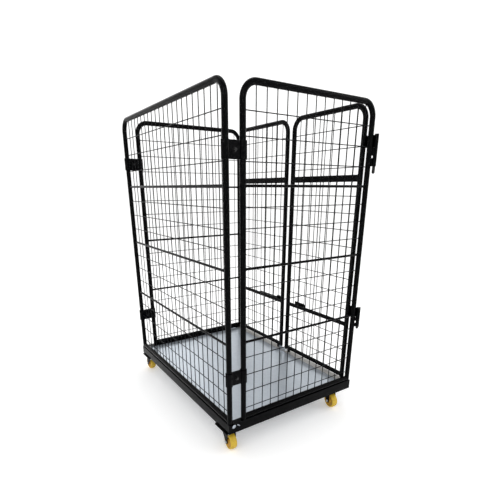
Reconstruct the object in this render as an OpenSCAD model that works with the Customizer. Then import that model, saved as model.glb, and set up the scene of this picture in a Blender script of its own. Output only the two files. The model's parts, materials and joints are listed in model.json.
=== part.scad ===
// Roll cage container: a castored steel base, three fixed mesh panels and a pair of lift-off mesh doors.
// Millimetres. Origin on the ground under the middle of the base, +X to the door side, +Z up.

/* [Base] */
// Width of the base, from the closed long side to the door side
base_w = 810; // [600:10:1000]
// Length of the base
base_l = 1150; // [900:10:1500]
// Height of the rolled steel rails round the base
base_h = 50; // [40:1:70]
// Thickness of the base rails
rail_t = 4; // [3:0.5:5]
// Width of the rails' top flange
flange_w = 30; // [20:1:40]
// How far the deck lies below the top of the rails
deck_drop = 10; // [6:1:20]
// Thickness of the galvanised deck sheet
deck_t = 1.5; // [1:0.5:3]
// Width of the sill plate along the door side
sill_w = 39; // [34:1:60]
// Number of cross members under the deck
cross_n = 5; // [3:1:7]

/* [Castors] */
// Height from the ground to the underside of the base
ride_h = 110; // [100:1:160]
// Wheel diameter
wheel_d = 84; // [60:1:84]
// Wheel tread width
wheel_w = 36; // [24:1:38]
// Distance from the swivel axis to the wheel's axle
castor_trail = 26; // [22:1:36]
// Direction in which the front wheel of the closed side trails, in degrees about +Z from +X
heading_front_closed = 264; // [0:1:359]
// Direction in which the rear wheel of the closed side trails
heading_rear_closed = 92; // [0:1:359]
// Direction in which the front wheel of the door side trails
heading_front_door = 262; // [0:1:359]
// Direction in which the rear wheel of the door side trails
heading_rear_door = 100; // [0:1:359]
// Swivel axis to the ends of the base
castor_inset_end = 68; // [62:1:90]
// Swivel axis to the closed long side of the base
castor_inset_side = 36; // [36:1:90]
// Swivel axis to the door side of the base
castor_inset_door = 93; // [75:1:120]

/* [Cage] */
// Height of the top rails' centre above the ground
top_z = 1554; // [1300:1:1900]
// Diameter of the frame tube
tube_d = 25; // [20:0.5:32]
// Wall of the frame tube
tube_wall = 1.5; // [1:0.1:2.5]
// Bend radius of the frame tube, to its centre line
bend_r = 62; // [45:1:90]
// Distance between the two posts that stand at a fixed corner
corner_gap = 76; // [60:1:90]
// Gap between a fixed panel's bottom rail and the base
foot_gap = 1; // [0.5:0.5:4]
// Mesh wire diameter
wire_d = 4; // [3:0.5:6]
// Spacing of the upright wires
wire_pitch = 50; // [35:1:80]
// First upright wire of a short panel to its corner post
first_wire = 65; // [50:1:90]
// Diameter of the three stiffening rods of a fixed panel
rod_d = 11.5; // [8:0.5:14]
// Height of the uppermost rod above the ground
rod_top_z = 1200; // [1100:1:1250]
// Spacing of the rods, each with three wires between
rod_gap = 325; // [300:1:350]
// Spacing of the level wires above the uppermost rod and below the lowest
edge_pitch = 86.5; // [70:0.5:90]

/* [Doors] */
// Clear gap between the two leaves
leaf_gap = 33; // [20:1:50]
// Clear gap between a leaf and its corner post
hinge_gap = 9; // [6:0.5:20]
// How far the leaves stand inward of the corner posts, centre to centre
leaf_inset = 6; // [3:0.5:8]
// Height of the leaf's bottom rail centre above the ground
leaf_foot_z = 180; // [176:1:200]
// Height of the flat upper rail's centre above the ground
leaf_upper_z = 1238; // [1150:1:1260]
// Height of the flat upper rail
leaf_upper_h = 32; // [25:1:40]
// Height of the round lower rail's centre above the ground
leaf_lower_z = 486; // [400:1:560]

/* [Hinges] */
// Hinge pin diameter
pin_d = 14; // [10:0.5:16]
// Wall of the hinge knuckles
knuckle_wall = 2.5; // [2:0.1:3]
// Hinge pin axis outward of the corner post's face, on the door side
pin_clear_x = 7.5; // [6.5:0.5:11.5]
// Hinge pin axis outward of the corner post's face, towards the end of the cage
pin_clear_y = 6; // [3.5:0.5:9.5]
// Height of the upper hinge's joint face above the ground
hinge_upper_z = 1371; // [1250:1:1450]
// Height of the lower hinge's joint face above the ground
hinge_lower_z = 538; // [520:1:600]
// Height of a leaf's knuckle
leaf_knuckle_h = 52; // [40:1:70]

/* [Corner clamps and latch] */
// Height of a corner clamp
clamp_h = 66; // [40:1:90]
// Height of the upper clamps' centre above the ground
clamp_upper_z = 1325; // [1240:1:1420]
// Height of the lower clamps' centre above the ground
clamp_lower_z = 388; // [300:1:500]
// Length of the latch bar from its pivot
latch_l = 225; // [200:1:240]
// Width of the latch bar
latch_h = 25; // [18:0.5:26]
// Latch pivot to the middle of the door opening
latch_pivot_y = 85; // [75:1:100]

/* [Hidden] */
$fn = 48;

// Fits and clearances
run_fit = 0.05;      // radial play of a pin that turns in its bore
seat = 0.1;          // air left between parts that are fitted together
play = 0.5;          // air beside a part that moves
weld = 0.05;         // air left where a coped tube end meets the tube it is welded to

// Colours
black = "#17181b";
mesh_black = "#1d1e21";
zinc = "#b9bec4";
galvanised = "#aeb6bf";
yellow = "#d9b21f";

// Base
screw_r = 3;
base_top = ride_h + base_h;
deck_z = base_top - deck_drop;
deck_under = deck_z - deck_t;
sill_h = deck_under - ride_h;
half_w = base_w / 2;
half_l = base_l / 2;

// Posts and panels
tube_r = tube_d / 2;
post_inset = tube_r + 0.5;
post_x = half_w - post_inset;
post_y = half_l - post_inset;
foot_z = base_top + foot_gap + tube_r;
long_w = 2 * post_y;
short_w = 2 * post_x - corner_gap;
rung_r = tube_r - 1;
edge_min = 40;
wire_r = wire_d / 2;
upright_off = rod_d / 2 + wire_r + weld;
level_off = upright_off - wire_d - weld;

// Leaves
leaf_x = post_x - leaf_inset;
stile_out_y = post_y - tube_d - hinge_gap;
stile_in_y = leaf_gap / 2 + tube_r;
leaf_w = stile_out_y - stile_in_y;
leaf_first = (leaf_w - floor((leaf_w - 2 * edge_min) / wire_pitch) * wire_pitch) / 2;
rail_deep = tube_d - 5;
leaf_lower_rows = 3;
leaf_middle_rows = 8;

// Hinges
pin_out_x = tube_r + pin_clear_x;
pin_out_y = tube_r + pin_clear_y;
pin_x = post_x + pin_out_x;
pin_y = post_y + pin_out_y;
pin_r = pin_d / 2;
knuckle_r = pin_r + knuckle_wall;
post_knuckle_h = [82, 52];
strap_t = 5;
strap_x = pin_x - strap_t - 1;
pin_below = [28, 8];
arm_t = 6;
arm_h = [36, 20];

// Latch
latch_t = 6;
latch_plate_t = 3;
latch_plate_x = leaf_x + tube_r + seat;
latch_bar_x = latch_plate_x + latch_plate_t + play;
latch_bolt_r = 5;
latch_lift = 16;
keeper_l = 82;
keeper_y = latch_l - latch_pivot_y - 18;

// Castors
corner_t = 5;
plate_t = 6;
plate_x = 88;
plate_y = 114;
plate_hole_x = 24;
plate_hole_y = 46;
plate_bolt_r = 4;
axle_z = wheel_d / 2;
axle_r = 4;
bush_r = 6;
fork_t = 3;
fork_gap = 1.5;
fork_y = wheel_w / 2 + 2 + fork_gap;
crown_z = ride_h - plate_t - 10;
crown_t = 4;
crown_r = 25;
king_r = 5;

function castor_spots() = [
    [-half_w + castor_inset_side, -half_l + castor_inset_end],
    [-half_w + castor_inset_side, half_l - castor_inset_end],
    [half_w - castor_inset_door, -half_l + castor_inset_end],
    [half_w - castor_inset_door, half_l - castor_inset_end]
];

function castor_headings() = [heading_front_closed, heading_rear_closed, heading_front_door, heading_rear_door];

// Half width of the frame tube at a distance off its centre plane
function reach(off) = sqrt(max(0, pow(tube_r, 2) - pow(off, 2)));

// How far from a tube's axis a wire must stop that meets it off its centre plane
function stop_at(off) = reach(max(0, abs(off) - wire_r));

// Height of the underside of a panel's arch for a wire at s from the post's axis, off its centre plane
function arch_z(top, s, off) = let(e = s - wire_r, r = bend_r - stop_at(off))
    e < bend_r ? top - bend_r + sqrt(pow(r, 2) - pow(bend_r - e, 2)) : top - stop_at(off);

// Distances of the upright wires from a panel's first post
function uprights(width, first) = [for (s = [first : wire_pitch : width - edge_min]) s];

// Heights of the level wires of a fixed panel
function fixed_rows() = concat(
    [for (k = [1 : 3]) rod_top_z + k * edge_pitch],
    [for (r = [0 : 1], k = [1 : 3]) rod_top_z - (r + k / 4) * rod_gap],
    [for (k = [1 : 4]) rod_top_z - 2 * rod_gap - (k - 0.1) * edge_pitch]
);

// Heights of the level wires of a leaf
function leaf_rows() = concat(
    [for (k = [1 : 3]) top_z - k * (top_z - leaf_upper_z) * 0.28],
    [for (k = [1 : leaf_middle_rows]) leaf_lower_z
        + k * (leaf_upper_z - leaf_lower_z) / (leaf_middle_rows + 1)],
    [for (k = [1 : leaf_lower_rows]) leaf_lower_z
        - k * (leaf_lower_z - leaf_foot_z) / (leaf_lower_rows + 1)]
);

// ---- shapes that repeat ----

module rod_x(r, x0, x1) {
    translate([x0, 0, 0]) rotate([0, 90, 0]) cylinder(r = r, h = x1 - x0);
}

module bend(r) {
    rotate([90, 0, 0]) rotate_extrude(angle = 90) translate([bend_r, 0]) circle(r = r);
}

// An arch of round bar: two posts, two bends, a top rail and a bottom rail between the posts
module arch(width, z0, rail_z, top, r) {
    for (x = [0, width]) translate([x, 0, z0]) cylinder(r = r, h = top - bend_r - z0);
    translate([width - bend_r, 0, top - bend_r]) bend(r);
    translate([bend_r, 0, top - bend_r]) mirror([1, 0, 0]) bend(r);
    translate([0, 0, top]) rod_x(r, bend_r, width - bend_r);
    translate([0, 0, rail_z]) rod_x(r, 0, width);
}

// Cuts what meets the two posts of a panel to the posts' round
module coped(width) {
    difference() {
        children();
        for (x = [0, width]) translate([x, 0, 0]) cylinder(r = tube_r + weld, h = top_z);
    }
}

// Welded frame of one panel, along +X from its first post's axis, with screw holes in its bottom rail
module panel_frame(width, z0, rail_z, top, holes = []) {
    color(black) difference() {
        arch(width, z0, rail_z, top, tube_r);
        arch(width, z0 - 1, rail_z, top, tube_r - tube_wall);
        for (x = holes) translate([x, 0, z0 - 1]) cylinder(r = screw_r + seat, h = rail_z - z0, $fn = 24);
    }
}

// Stiffening rods of a fixed panel
module panel_rods(width) {
    color(black) coped(width) for (k = [0 : 2])
        translate([0, 0, rod_top_z - k * rod_gap]) rod_x(rod_d / 2, 4, width - 4);
}

// Wire mesh inside a panel: upright wires off its centre plane by u, level wires by v
module panel_mesh(width, first, rail_z, top, rows, u, v) {
    bottom = rail_z + stop_at(u) + seat;
    color(mesh_black) {
        for (s = uprights(width, first))
            translate([s, u, bottom])
                cylinder(r = wire_r, h = arch_z(top, min(s, width - s), u) - seat - bottom, $fn = 16);
        for (z = rows) translate([0, v, z])
            rod_x(wire_r, stop_at(v) + seat, width - stop_at(v) - seat, $fn = 16);
    }
}

module front_side() {
    translate([-post_x + corner_gap, -post_y, 0]) children();
}

module rear_side() {
    mirror([0, 1, 0]) front_side() children();
}

module closed_side() {
    translate([-post_x, post_y, 0]) rotate([0, 0, -90]) children();
}

module front_leaf_side() {
    translate([leaf_x, -stile_out_y, 0]) rotate([0, 0, 90]) children();
}

module rear_leaf_side() {
    mirror([0, 1, 0]) front_leaf_side() children();
}

// ---- base ----

// Where screws come up through the flanges into the panels' bottom rails
function screw_spots() = concat(
    [for (k = [-1, 1]) [-post_x, k * base_l / 4]],
    [for (k = [-1, 1], s = [-1, 1]) [k * base_w / 4, s * post_y]]);

module flange_holes() {
    for (p = screw_spots()) translate([p[0], p[1], base_top - rail_t - 1])
        cylinder(r = screw_r + seat, h = rail_t + 2, $fn = 24);
}

module side_rail_closed() {
    color(black) difference() {
        union() {
            translate([-half_w, -half_l, ride_h]) cube([rail_t, base_l, base_h]);
            translate([-half_w + rail_t, -half_l + rail_t, base_top - rail_t])
                cube([flange_w - rail_t, base_l - 2 * rail_t, rail_t]);
        }
        flange_holes();
    }
}

// Rail across one end of the base, with two openings beside its corner with the closed side
module end_rail() {
    hole_r = (base_h - 2 * rail_t) * 0.27;
    hole_x = -half_w + 30;
    slot_x = -half_w + 55;
    hole_z = base_top - 1.5 * rail_t - hole_r;
    color(black) difference() {
        union() {
            translate([-half_w + rail_t, -half_l, ride_h]) cube([base_w - rail_t, rail_t, base_h]);
            translate([-half_w + flange_w, -half_l + rail_t, base_top - rail_t])
                cube([base_w - flange_w, flange_w - rail_t, rail_t]);
        }
        translate([hole_x, -half_l - 1, hole_z]) rotate([-90, 0, 0]) cylinder(r = hole_r, h = rail_t + 2);
        translate([slot_x, -half_l - 1, hole_z]) rotate([0, 40, 0])
            translate([-hole_r, 0, -3]) cube([2 * hole_r, rail_t + 2, 6]);
        flange_holes();
    }
}

module end_rail_front() end_rail();

module end_rail_rear() mirror([0, 1, 0]) end_rail();

module door_sill() {
    color(black) {
        translate([half_w - rail_t, -half_l + rail_t, ride_h])
            cube([rail_t, base_l - 2 * rail_t, sill_h - seat]);
        translate([half_w - flange_w, -half_l + rail_t, ride_h + sill_h - rail_t - seat])
            cube([flange_w - rail_t, base_l - 2 * rail_t, rail_t]);
    }
}

// Box sections that carry the deck, from the closed side's web to the sill
module cross_members() {
    member_w = 40;
    wall = 2.5;
    first = castor_inset_end + plate_y / 2 + member_w / 2 + 2;
    pitch = (base_l - 2 * first) / (cross_n - 1);
    color(black) for (k = [0 : cross_n - 1])
        translate([-half_w + rail_t, -half_l + first + k * pitch - member_w / 2, ride_h])
            difference() {
                cube([base_w - rail_t - flange_w, member_w, sill_h - seat]);
                translate([-1, wall, wall])
                    cube([base_w, member_w - 2 * wall, sill_h - seat - 2 * wall]);
            }
}

// Angle plate inside one corner of the base that a castor bolts to, from x0 to past the castor
module corner_plate(x0, spot_x) {
    plate_w = spot_x + plate_x / 2 - x0;
    difference() {
        translate([x0, -half_l + rail_t, ride_h]) {
            cube([plate_w, castor_inset_end + plate_y / 2 - rail_t, corner_t]);
            cube([plate_w, 3, base_h - rail_t - seat]);
        }
        translate([spot_x, castor_inset_end - half_l, 0]) {
            plate_holes(plate_bolt_r + 0.4, ride_h - 1, corner_t + 2);
            translate([0, 0, ride_h - 1]) cylinder(r = 13, h = corner_t + 2);
        }
    }
}

module corner_plates() {
    color(galvanised) for (m = [0, 1]) mirror([0, m, 0]) {
        corner_plate(-half_w + rail_t, castor_inset_side - half_w);
        corner_plate(half_w - castor_inset_door - plate_x / 2, half_w - castor_inset_door);
    }
}

// Deck, let in between the flanges and ending short of the sill plate
module floor_sheet() {
    inset = flange_w + 0.6;
    color(galvanised) translate([-half_w + inset, -half_l + inset, deck_under])
        cube([base_w - inset - sill_w - 3, base_l - 2 * inset, deck_t]);
}

// Worn strip under the leaves, folded down over the sill
module sill_plate() {
    color(galvanised) translate([half_w - sill_w, -half_l + rail_t + seat, 0]) {
        translate([0, 0, deck_under]) cube([sill_w + deck_t + seat, base_l - 2 * (rail_t + seat), deck_t]);
        translate([sill_w + seat, 0, deck_under - 12]) cube([deck_t, base_l - 2 * (rail_t + seat), 12]);
    }
}

// Folded plate that the two leaves close against
module door_stop() {
    stop_w = 2 * stile_in_y + 4;
    stop_h = leaf_foot_z - tube_r - deck_z + 7;
    color(zinc) translate([leaf_x - tube_r - 2 - play, -stop_w / 2, deck_z]) {
        cube([2, stop_w, stop_h]);
        cube([24, stop_w, 2]);
    }
}

// Pegs on the base that the fixed panels' posts stand on
module panel_spigots() {
    peg_r = tube_r - tube_wall - 0.5;
    color(zinc) for (x = [-post_x, -post_x + corner_gap, post_x], y = [-post_y, post_y])
        translate([x, y, base_top]) cylinder(r = peg_r, h = 8);
}

// Screws up through the flanges into the bottom rails
module panel_screws() {
    color(zinc) for (p = screw_spots()) translate([p[0], p[1], base_top - rail_t]) {
        translate([0, 0, -4]) cylinder(r = 5.5, h = 4, $fn = 6);
        cylinder(r = screw_r, h = rail_t + foot_gap + tube_wall + 3, $fn = 24);
    }
}

// ---- fixed panels ----

module closed_panel_frame() closed_side()
    panel_frame(long_w, base_top, foot_z, top_z, [for (k = [-1, 1]) long_w / 2 + k * base_l / 4]);
module closed_panel_rods() closed_side() panel_rods(long_w);
module closed_panel_mesh() closed_side()
    panel_mesh(long_w, (long_w - floor((long_w - 2 * edge_min) / wire_pitch) * wire_pitch) / 2,
        foot_z, top_z, fixed_rows(), upright_off, level_off);

module short_frame() panel_frame(short_w, base_top, foot_z, top_z,
    [for (k = [-1, 1]) post_x - corner_gap + k * base_w / 4]);
module short_mesh() panel_mesh(short_w, first_wire, foot_z, top_z, fixed_rows(), upright_off, level_off);

module front_panel_frame() front_side() short_frame();
module front_panel_rods() front_side() panel_rods(short_w);
module front_panel_mesh() front_side() short_mesh();

module rear_panel_frame() rear_side() short_frame();
module rear_panel_rods() rear_side() panel_rods(short_w);
module rear_panel_mesh() rear_side() short_mesh();

// ---- corner clamps ----

// Half of a clamp: a web between the two posts with a collar round half of each, outside for side 1
module clamp_half(side) {
    wall = 4;
    split = 1.5;
    collar_r = tube_r + seat + wall;
    linear_extrude(clamp_h) difference() {
        intersection() {
            union() {
                for (x = [0, corner_gap]) translate([x, 0]) circle(r = collar_r);
                translate([0, -split - wall]) square([corner_gap, 2 * (split + wall)]);
            }
            translate([-collar_r, side > 0 ? -collar_r : split])
                square([corner_gap + 2 * collar_r, collar_r - split]);
        }
        for (x = [0, corner_gap]) translate([x, 0]) circle(r = tube_r + seat);
    }
}

module at_clamps() {
    for (z = [clamp_upper_z, clamp_lower_z]) translate([-post_x, -post_y, z]) children();
}

// Clamps of both fixed corners, notched where a level wire meets a post behind them
module corner_clamps() {
    low = level_off - wire_r - 0.3;
    wide = wire_d + 0.6;
    color(black) for (m = [0, 1]) mirror([0, m, 0]) difference() {
        at_clamps() translate([0, 0, -clamp_h / 2]) for (side = [1, -1]) clamp_half(side);
        at_clamps() translate([corner_gap / 2, -30, 0]) rotate([-90, 0, 0]) cylinder(r = 4.3, h = 60);
        for (z = fixed_rows()) translate([-post_x, -post_y, z - wide / 2]) {
            translate([low, tube_r - 4, 0]) cube([wide, 12, wide]);
            translate([corner_gap + tube_r - 4, low, 0]) cube([12, wide, wide]);
        }
    }
}

module clamp_bolts() {
    color(zinc) for (m = [0, 1]) mirror([0, m, 0]) at_clamps()
        translate([corner_gap / 2, -5.6, 0]) {
            rotate([-90, 0, 0]) cylinder(r = 4, h = 22);
            rotate([90, 0, 0]) cylinder(r = 8.5, h = 1.6);
            translate([0, -1.6, 0]) rotate([90, 0, 0]) cylinder(r = 7, h = 5, $fn = 6);
        }
}

module clamp_nuts() {
    color(zinc) for (m = [0, 1]) mirror([0, m, 0]) at_clamps()
        translate([corner_gap / 2, 5.6, 0]) rotate([-90, 0, 0]) difference() {
            union() {
                cylinder(r = 8.5, h = 1.6);
                translate([0, 0, 1.6]) cylinder(r = 7.4, h = 6.5, $fn = 6);
            }
            translate([0, 0, -1]) cylinder(r = 4 + seat, h = 12);
        }
}

// ---- doors ----

module leaf_frame() panel_frame(leaf_w, leaf_foot_z - tube_r, leaf_foot_z, top_z);

// Flat upper rail and round lower rail of a leaf
module leaf_rails() {
    wall = 2;
    color(black) coped(leaf_w) {
        translate([3, -rail_deep / 2, leaf_upper_z - leaf_upper_h / 2]) difference() {
            cube([leaf_w - 6, rail_deep, leaf_upper_h]);
            translate([-1, wall, wall])
                cube([leaf_w, rail_deep - 2 * wall, leaf_upper_h - 2 * wall]);
        }
        translate([0, 0, leaf_lower_z]) difference() {
            rod_x(rung_r, 3, leaf_w - 3);
            rod_x(rung_r - tube_wall, 2, leaf_w - 2);
        }
    }
}

// Mesh of a leaf, cut at both rails
module leaf_mesh() {
    u = -wire_r;
    v = wire_r + weld;
    upper = leaf_upper_z + leaf_upper_h / 2 + seat;
    spans = [
        [leaf_foot_z + stop_at(u), leaf_lower_z - rung_r],
        [leaf_lower_z + rung_r, leaf_upper_z - leaf_upper_h / 2]
    ];
    color(mesh_black) {
        for (s = uprights(leaf_w, leaf_first)) {
            for (f = spans) translate([s, u, f[0] + seat])
                cylinder(r = wire_r, h = f[1] - f[0] - 2 * seat, $fn = 16);
            translate([s, u, upper])
                cylinder(r = wire_r, h = arch_z(top_z, min(s, leaf_w - s), u) - seat - upper, $fn = 16);
        }
        for (z = leaf_rows()) translate([0, v, z])
            rod_x(wire_r, stop_at(v) + seat, leaf_w - stop_at(v) - seat, $fn = 16);
    }
}

// Tapered foot under the leaf's free corner, just clear of the sill plate
module leaf_foot() {
    foot_top = leaf_foot_z - tube_r;
    drop = foot_top - deck_z - play;
    color(black) difference() {
        translate([leaf_w - tube_r - 24, 6, foot_top - drop]) rotate([90, 0, 0]) linear_extrude(12)
            polygon([[4, 0], [14, 0], [22, drop + 6], [0, drop + 6]]);
        translate([0, 0, leaf_foot_z]) rod_x(tube_r + weld, 0, leaf_w);
    }
}

module front_leaf_frame() front_leaf_side() leaf_frame();
module front_leaf_rails() front_leaf_side() leaf_rails();
module front_leaf_mesh() front_leaf_side() leaf_mesh();
module front_leaf_foot() front_leaf_side() leaf_foot();
module rear_leaf_frame() rear_leaf_side() leaf_frame();
module rear_leaf_rails() rear_leaf_side() leaf_rails();
module rear_leaf_mesh() rear_leaf_side() leaf_mesh();
module rear_leaf_foot() rear_leaf_side() leaf_foot();

// ---- hinges ----

// Joint face of the upper (0) or lower (1) hinge
module at_hinge(k) {
    translate([pin_x, -pin_y, [hinge_upper_z, hinge_lower_z][k]]) children();
}

// Knuckle welded to the corner post by two arms
module post_knuckles() {
    span = sqrt(pow(pin_out_x, 2) + pow(pin_out_y, 2));
    turn = atan2(pin_out_y, -pin_out_x);
    color(black) for (k = [0, 1]) let(h = post_knuckle_h[k]) at_hinge(k) difference() {
        translate([0, 0, -h]) {
            cylinder(r = knuckle_r, h = h);
            for (z = [0, h - arm_h[k]]) translate([0, 0, z]) rotate([0, 0, turn])
                translate([pin_r + 1, -arm_t / 2, 0]) cube([span - tube_r - pin_r + 1, arm_t, arm_h[k]]);
        }
        translate([-pin_out_x, pin_out_y, -h - 1]) cylinder(r = tube_r + weld, h = h + 2);
        translate([0, 0, -h - 1]) cylinder(r = pin_r + run_fit, h = h + 2);
    }
}

// Knuckle on a strap that is welded to the outer face of the leaf's stile
module leaf_knuckles() {
    to_stile = pin_y - stile_out_y;
    back = leaf_x + tube_r / 2 - pin_x;
    color(black) for (k = [0, 1]) at_hinge(k) translate([0, 0, play]) difference() {
        union() {
            cylinder(r = knuckle_r, h = leaf_knuckle_h);
            translate([strap_x - pin_x, 0, 0]) cube([strap_t, to_stile + tube_r - 2, leaf_knuckle_h]);
            translate([back, to_stile - 7, 0]) cube([strap_x - pin_x - back + 1, 14, leaf_knuckle_h]);
        }
        translate([leaf_x - pin_x, to_stile, -1]) cylinder(r = tube_r + weld, h = leaf_knuckle_h + 2);
        translate([0, 0, -1]) cylinder(r = pin_r + seat, h = leaf_knuckle_h + 2);
    }
}

// Headed pin that hangs in the leaf's knuckle and turns in the post's
module hinge_pins() {
    color(zinc) for (k = [0, 1]) let(low = post_knuckle_h[k] + pin_below[k]) at_hinge(k) {
        translate([0, 0, -low]) cylinder(r = pin_r, h = low + play + leaf_knuckle_h);
        translate([0, 0, -low - 4]) cylinder(r1 = pin_r - 3, r2 = pin_r, h = 4);
        translate([0, 0, play + leaf_knuckle_h]) cylinder(r = knuckle_r, h = 4);
    }
}

module front_post_knuckles() post_knuckles();
module rear_post_knuckles() mirror([0, 1, 0]) post_knuckles();
module front_leaf_knuckles() leaf_knuckles();
module rear_leaf_knuckles() mirror([0, 1, 0]) leaf_knuckles();
module front_hinge_pins() hinge_pins();
module rear_hinge_pins() mirror([0, 1, 0]) hinge_pins();

// ---- latch ----

// Round-topped plate on the rear leaf's lower rail, with a shelf that the folded bar rests on
module latch_bracket() {
    plate_w = 78;
    shelf_y = latch_l - 50;
    top_r = 26;
    color(black) translate([latch_plate_x, latch_pivot_y, leaf_lower_z]) {
        difference() {
            rotate([90, 0, 90]) linear_extrude(latch_plate_t) intersection() {
                union() {
                    circle(r = top_r + 2.5);
                    translate([-plate_w / 2, -tube_r]) square([plate_w, tube_d]);
                }
                translate([-plate_w / 2, -tube_r]) square([plate_w, 2 * top_r + tube_r]);
            }
            translate([-1, 0, 0]) rotate([0, 90, 0]) cylinder(r = latch_bolt_r + run_fit, h = 10);
        }
        translate([0, shelf_y, -latch_h / 2 - 3 - seat]) {
            cube([latch_plate_t + latch_t + 2 * play + 3, 24, 3]);
            translate([latch_plate_t + latch_t + 2 * play, 0, 0]) cube([3, 24, 12]);
        }
        translate([0, shelf_y, -latch_h / 2 - 3 - seat]) cube([latch_plate_t, 24, latch_h / 2]);
    }
}

module latch_pivot_bolt() {
    reach = latch_plate_t + latch_t + 2 * play;
    color(zinc) translate([latch_plate_x, latch_pivot_y, leaf_lower_z]) rotate([0, 90, 0]) {
        translate([0, 0, seat]) cylinder(r = latch_bolt_r, h = reach);
        translate([0, 0, reach]) cylinder(r = 10, h = 1.5);
        translate([0, 0, reach + 1.5]) cylinder(r = 8, h = 5, $fn = 6);
    }
}

// Flip-over bar, shown folded back along its own leaf
module latch_bar() {
    color(black) translate([latch_bar_x, latch_pivot_y, leaf_lower_z]) difference() {
        rotate([90, 0, 90]) linear_extrude(latch_t) {
            circle(r = latch_h / 2);
            translate([0, -latch_h / 2]) square([latch_l - latch_h / 2, latch_h]);
            translate([latch_l - latch_h / 2, 0]) circle(r = latch_h / 2);
        }
        translate([-1, 0, 0]) rotate([0, 90, 0]) cylinder(r = latch_bolt_r + run_fit, h = latch_t + 2);
    }
}

// Open-topped channel on the front leaf's lower rail, which the bar drops into
module latch_keeper() {
    side_h = tube_r + latch_lift + latch_h / 2;
    room = latch_t + 2 * play;
    color(black) translate([latch_plate_x, -keeper_y - keeper_l / 2, leaf_lower_z - latch_h / 2 - 3 - seat]) {
        cube([latch_plate_t, keeper_l, side_h]);
        cube([2 * latch_plate_t + room, keeper_l, 3]);
        translate([latch_plate_t + room, 0, 0]) cube([latch_plate_t, keeper_l, side_h - 8]);
    }
}

// ---- castors ----

module at_castors() {
    for (p = castor_spots()) translate([p[0], p[1], 0]) children();
}

module at_castor(i) {
    p = castor_spots()[i];
    translate([p[0], p[1], 0]) rotate([0, 0, castor_headings()[i] - 180]) children();
}

module plate_holes(r, z, h) {
    for (x = [-plate_hole_x, plate_hole_x], y = [-plate_hole_y, plate_hole_y])
        translate([x, y, z]) cylinder(r = r, h = h, $fn = 24);
}

// Top plates of the castors with their raceways, and the pads inside the base that they bolt to
module castor_plates() {
    color(black) at_castors() difference() {
        union() {
            translate([-plate_x / 2, -plate_y / 2, ride_h - plate_t]) cube([plate_x, plate_y, plate_t]);
            translate([0, 0, crown_z + crown_t + play]) cylinder(r = crown_r - 3, h = 10 - crown_t);
        }
        plate_holes(plate_bolt_r + 0.4, ride_h - plate_t - 1, plate_t + 2);
        translate([0, 0, crown_z]) cylinder(r = king_r + seat, h = 30);
    }
}

module castor_plate_bolts() {
    color(zinc) at_castors() {
        plate_holes(plate_bolt_r, ride_h - plate_t - 9, plate_t + corner_t + 10);
        for (x = [-plate_hole_x, plate_hole_x], y = [-plate_hole_y, plate_hole_y]) {
            translate([x, y, ride_h - plate_t - 6.6]) cylinder(r = 7.4, h = 6.5, $fn = 6);
            translate([x, y, ride_h + corner_t + seat]) cylinder(r = 7.4, h = 5, $fn = 6);
        }
    }
}

// Bolt on which the fork swivels
module castor_king_bolts() {
    color(zinc) at_castors() {
        translate([0, 0, crown_z - 6]) cylinder(r = king_r, h = ride_h - crown_z + 8);
        translate([0, 0, crown_z - 6]) cylinder(r = 9, h = 6 - play);
        translate([0, 0, ride_h + seat]) cylinder(r = 9, h = 5, $fn = 6);
    }
}

// Pressed fork: a round crown and two raked legs
module fork() {
    leg = [
        [18, crown_z + crown_t], [-34, crown_z + crown_t], [-castor_trail - 12, axle_z],
        [-castor_trail, axle_z - 12], [-castor_trail + 12, axle_z], [18, crown_z - 14]
    ];
    difference() {
        union() {
            translate([0, 0, crown_z]) cylinder(r = crown_r, h = crown_t);
            translate([-34, -fork_y - fork_t, crown_z]) cube([50, 2 * (fork_y + fork_t), crown_t]);
            for (s = [-1, 1]) translate([0, s > 0 ? fork_y + fork_t : -fork_y, 0])
                rotate([90, 0, 0]) linear_extrude(fork_t) {
                    polygon(leg);
                    translate([-castor_trail, axle_z]) circle(r = 12);
                }
        }
        translate([0, 0, crown_z - 1]) cylinder(r = king_r + run_fit, h = crown_t + 2);
        translate([-castor_trail, -40, axle_z]) rotate([-90, 0, 0]) cylinder(r = axle_r + seat, h = 80);
    }
}

// Moulded wheel with a crowned tread and a groove on its parting line
module wheel() {
    r = wheel_d / 2;
    w = wheel_w / 2;
    hub_w = w + 2;
    translate([-castor_trail, 0, axle_z]) rotate([90, 0, 0]) rotate_extrude($fn = 72) polygon([
        [bush_r + run_fit, -hub_w], [16, -hub_w], [17, -w + 5], [r - 10, -w + 5], [r - 8, -w + 1],
        [r - 5, -w], [r - 2, -w + 3], [r - 0.6, -w / 2], [r, -1.4], [r - 0.8, 0],
        [r, 1.4], [r - 0.6, w / 2], [r - 2, w - 3], [r - 5, w],
        [r - 8, w - 1], [r - 10, w - 5], [17, w - 5], [16, hub_w], [bush_r + run_fit, hub_w]
    ]);
}

module bush() {
    translate([-castor_trail, fork_y - seat, axle_z]) rotate([90, 0, 0]) difference() {
        cylinder(r = bush_r, h = 2 * (fork_y - seat));
        translate([0, 0, -1]) cylinder(r = axle_r + seat, h = 2 * fork_y + 2);
    }
}

module axle() {
    span = fork_y + fork_t;
    translate([-castor_trail, 0, axle_z]) rotate([90, 0, 0]) {
        translate([0, 0, -span - 8]) cylinder(r = axle_r, h = 2 * span + 8);
        translate([0, 0, span]) cylinder(r = 7, h = 5, $fn = 6);
        translate([0, 0, -span - 6.5]) cylinder(r = 7.4, h = 6.5, $fn = 6);
    }
}

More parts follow.
